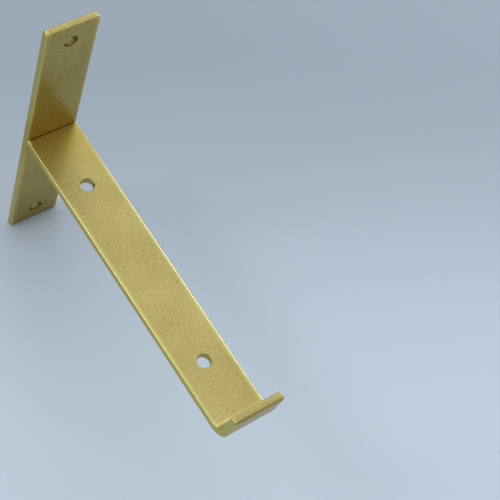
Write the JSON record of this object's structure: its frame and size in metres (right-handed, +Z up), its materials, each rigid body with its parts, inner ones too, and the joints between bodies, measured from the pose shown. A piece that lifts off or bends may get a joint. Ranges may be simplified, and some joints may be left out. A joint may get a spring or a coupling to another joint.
{
  "type": "floating shelf bracket",
  "caption": "Welded flat-bar bracket that is screwed to a wall and carries a shelf board on its arm, behind a short upturned front lip.",
  "frame": {"origin": "on the wall face of the back plate, halfway between the two wall holes and level with the face that carries the shelf", "axes": "+Z up along the back plate, +Y into the wall, +X across the bar; the arm runs out along -Y and its lip points up"},
  "size_m": [0.04, 0.2625, 0.245],
  "materials": {
    "coated_steel": "satin gold powder coat with a fine metallic grain",
    "coated_weld": "the same satin gold coat over the weld metal"
  },
  "bodies": {
    "root": {"back_plate": "coated_steel", "shelf_arm": "coated_steel", "weld_bead": "coated_weld"}
  },
  "joints": []
}
